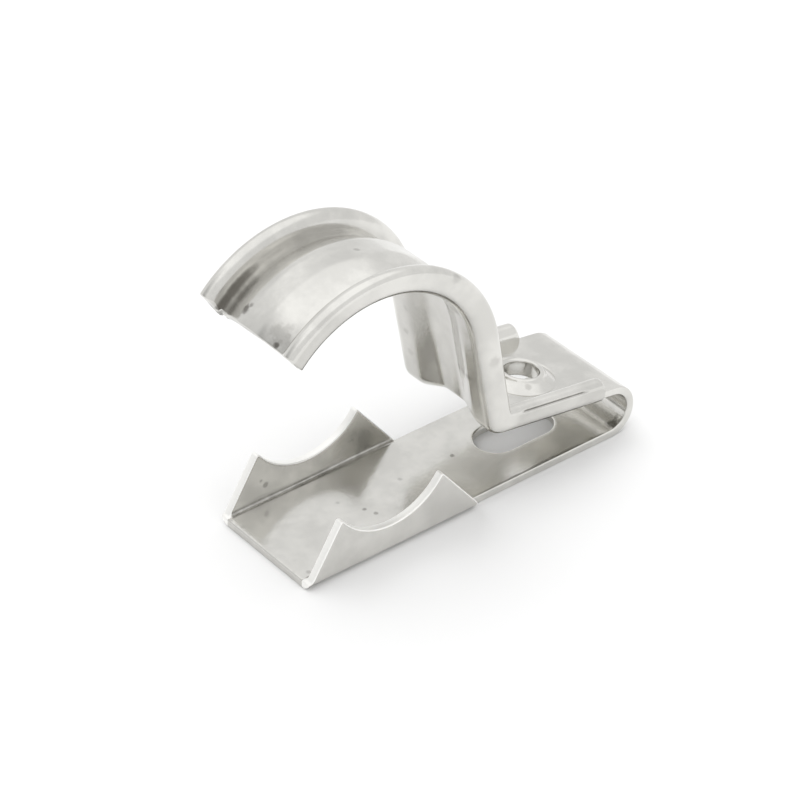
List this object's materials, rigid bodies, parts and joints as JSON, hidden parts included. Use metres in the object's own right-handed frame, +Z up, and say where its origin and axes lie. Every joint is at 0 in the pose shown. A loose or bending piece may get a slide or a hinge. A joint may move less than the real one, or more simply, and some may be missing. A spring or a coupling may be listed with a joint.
{
  "type": "conduit clip",
  "caption": "Folded stainless steel strap clip that hooks over a conduit above a notched saddle, with a screw collar and a slotted base",
  "frame": {"origin": "the middle of the base slot, on the underside of the base", "axes": "+X along the base from the saddle to the U-bend, +Y across the strip, +Z up from the mounting surface"},
  "size_m": [0.0604, 0.0202, 0.0442],
  "materials": {
    "stainless_steel": "satin, with light tool marks"
  },
  "bodies": {
    "root": {"clip": "stainless_steel"}
  },
  "joints": []
}
